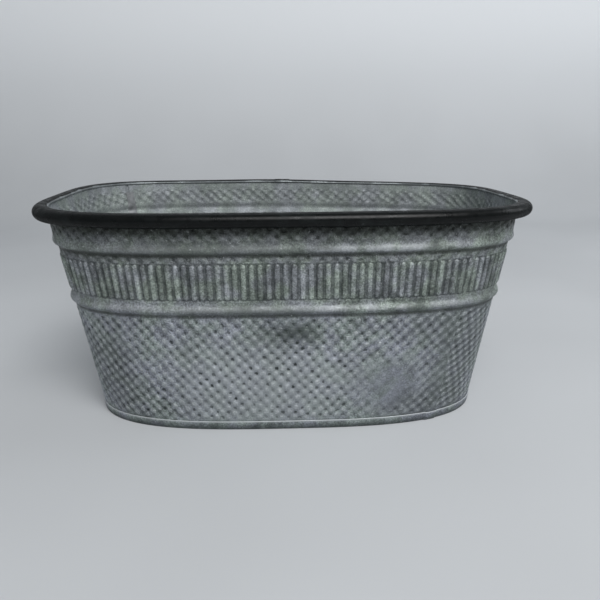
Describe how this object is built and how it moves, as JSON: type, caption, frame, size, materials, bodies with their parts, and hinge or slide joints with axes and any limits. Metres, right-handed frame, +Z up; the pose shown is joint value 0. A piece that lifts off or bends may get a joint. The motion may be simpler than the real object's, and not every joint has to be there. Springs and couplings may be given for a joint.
{
  "type": "oval water trough",
  "caption": "Small oval trough of embossed galvanised sheet steel, flared, with two beads, a fluted band, lap seams and a dark rolled rim.",
  "frame": {"origin": "middle of the footprint, on the surface that the trough stands on", "axes": "+X along the trough, +Y across it, +Z up"},
  "size_m": [0.4, 0.24, 0.1828],
  "materials": {
    "galvanised": "dull, mottled galvanised zinc with a grey-blue patina",
    "rim": "near-black, half-gloss, worn greyer on top",
    "wire": "plain steel wire",
    "solder": "dull solder",
    "sealant": "dull grey sealant"
  },
  "bodies": {
    "root": {"wall_sheet_front": "galvanised", "wall_sheet_back": "galvanised", "floor_pan": "galvanised", "rim_band": "rim", "rim_wire": "wire", "front_seam_solder": "solder", "back_seam_solder": "solder", "floor_sealant": "sealant"}
  },
  "joints": []
}
